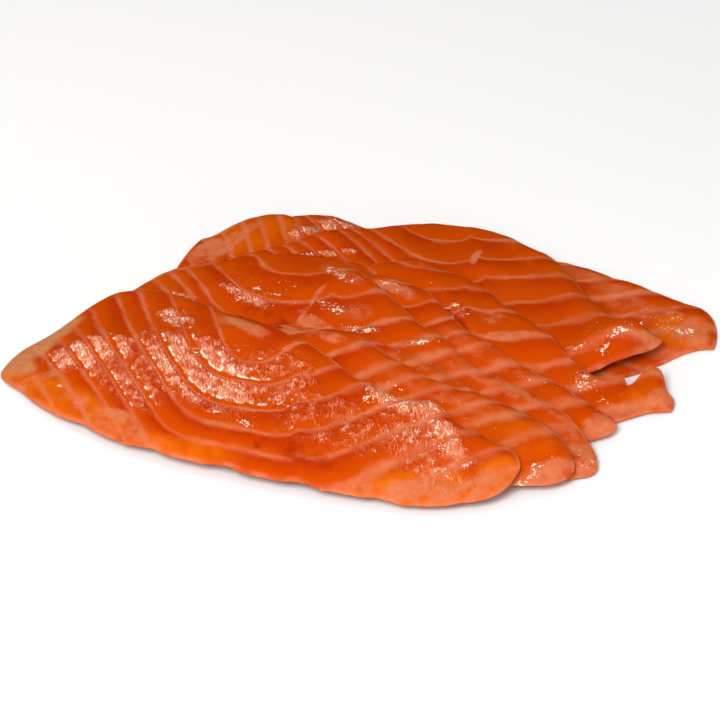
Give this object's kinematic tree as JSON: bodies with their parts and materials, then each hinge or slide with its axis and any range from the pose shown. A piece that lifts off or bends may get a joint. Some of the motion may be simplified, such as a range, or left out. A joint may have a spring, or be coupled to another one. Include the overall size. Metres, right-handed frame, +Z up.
{
  "type": "smoked salmon slices",
  "caption": "Thin leaf-shaped slices of smoked salmon, shingled over one another in a low fanned pile with an arched end at the back.",
  "frame": {"origin": "centre of the pile's footprint on the surface it lies on", "axes": "+X along the pile's length towards the slices' narrow ends, +Y from the top slice at the front towards the lowest slice at the back, +Z up"},
  "size_m": [0.243, 0.1734, 0.0244],
  "materials": {
    "salmon_flesh": "moist satin flesh with pale streaks"
  },
  "bodies": {
    "root": {"slice_1_front": "salmon_flesh", "slice_2": "salmon_flesh", "slice_3": "salmon_flesh", "slice_4": "salmon_flesh", "slice_5": "salmon_flesh", "slice_6": "salmon_flesh", "slice_7_arched": "salmon_flesh", "slice_8": "salmon_flesh", "slice_9_back": "salmon_flesh"}
  },
  "joints": []
}
